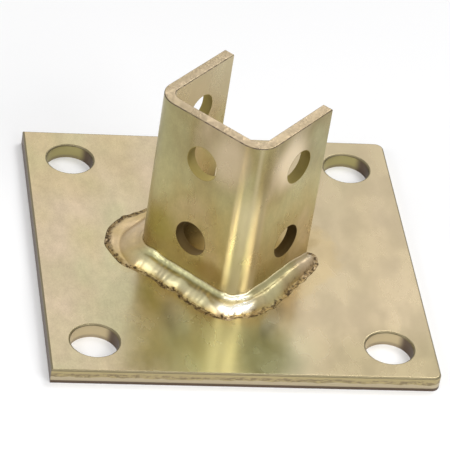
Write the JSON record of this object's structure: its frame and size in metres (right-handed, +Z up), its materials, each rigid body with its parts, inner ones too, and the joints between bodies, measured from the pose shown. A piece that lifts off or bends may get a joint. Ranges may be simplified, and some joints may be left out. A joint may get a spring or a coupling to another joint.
{
  "type": "channel post base",
  "caption": "Square steel base plate with corner anchor holes and a folded U bracket, welded on at 45 degrees, that takes and bolts the foot of a channel post.",
  "frame": {"origin": "middle of the base plate's underside", "axes": "+Z up along the bracket; +X along the plate's front edge, towards its two rounded corners; +Y towards its back edge. The bracket's web faces halfway between -X and -Y"},
  "size_m": [0.1524, 0.1524, 0.0825],
  "materials": {
    "plate_zinc": "yellow zinc on hot-rolled steel, satin, pale tan with faint pink and green clouding",
    "bracket_zinc": "yellow zinc on rolled steel, satin, olive gold with faint pink and green clouding",
    "weld_zinc": "zinc-plated weld metal, bright and rippled, with brown soot along its toe"
  },
  "bodies": {
    "root": {"base_plate": "plate_zinc", "channel_bracket": "bracket_zinc", "weld_bead": "weld_zinc"}
  },
  "joints": []
}
